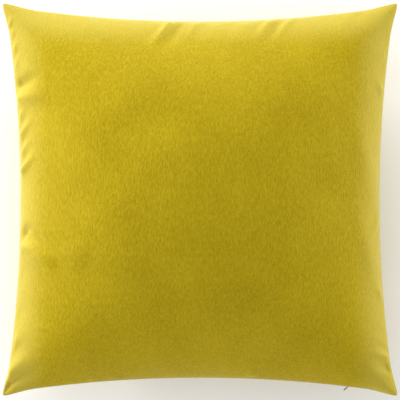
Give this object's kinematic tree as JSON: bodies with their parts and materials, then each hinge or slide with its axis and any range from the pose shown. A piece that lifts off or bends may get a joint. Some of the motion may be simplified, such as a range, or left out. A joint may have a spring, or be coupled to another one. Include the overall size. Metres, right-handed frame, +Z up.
{
  "type": "throw pillow",
  "caption": "Square zipped velvet throw pillow with knife edges and a sewn inner pad, lying face up.",
  "frame": {"origin": "on the resting plane, under the centre of the pillow", "axes": "+Z up through the front's crown, +Y away from the zipped edge, +X along the zip towards its closed end"},
  "size_m": [0.4926, 0.4896, 0.1541],
  "materials": {
    "velvet": "short-pile velvet with a soft sheen",
    "sewing_thread": "spun polyester thread",
    "zip_tape": "woven herringbone tape",
    "zip_nylon": "drawn nylon, satin",
    "zip_metal": "die-cast, antique plated",
    "pad_casing": "plain-woven cotton",
    "fibre_fill": "carded fibre"
  },
  "bodies": {
    "cushion": {"front_panel": "velvet", "back_panel": "velvet", "seam_thread": "sewing_thread", "overlock_thread": "sewing_thread", "zip_tape_front": "zip_tape", "zip_tape_back": "zip_tape", "zip_teeth_front": "zip_nylon", "zip_teeth_back": "zip_nylon", "zip_tape_stitches": "sewing_thread", "bar_tacks": "sewing_thread", "zip_bottom_stop": "zip_metal", "zip_top_stops": "zip_metal", "casing_front": "pad_casing", "casing_back": "pad_casing", "casing_thread": "pad_casing", "filling": "fibre_fill"},
    "zip_slider": {"zip_slider": "zip_metal"},
    "zip_pull": {"zip_pull": "zip_metal"}
  },
  "joints": [
    {"name": "zip_travel", "type": "hinge", "parent": "cushion", "child": "zip_slider", "pos_m": [0, -1.78254, 0.068], "axis": [0, 0, 1], "range_deg": [0, 13.81], "deforming": ["zip_teeth_front", "zip_teeth_back"]},
    {"name": "pull_swing", "type": "hinge", "parent": "zip_slider", "child": "zip_pull", "pos_m": [0.18797, -0.23128, 0.068], "axis": [0, 0, 1], "range_deg": [-15, 101]}
  ]
}
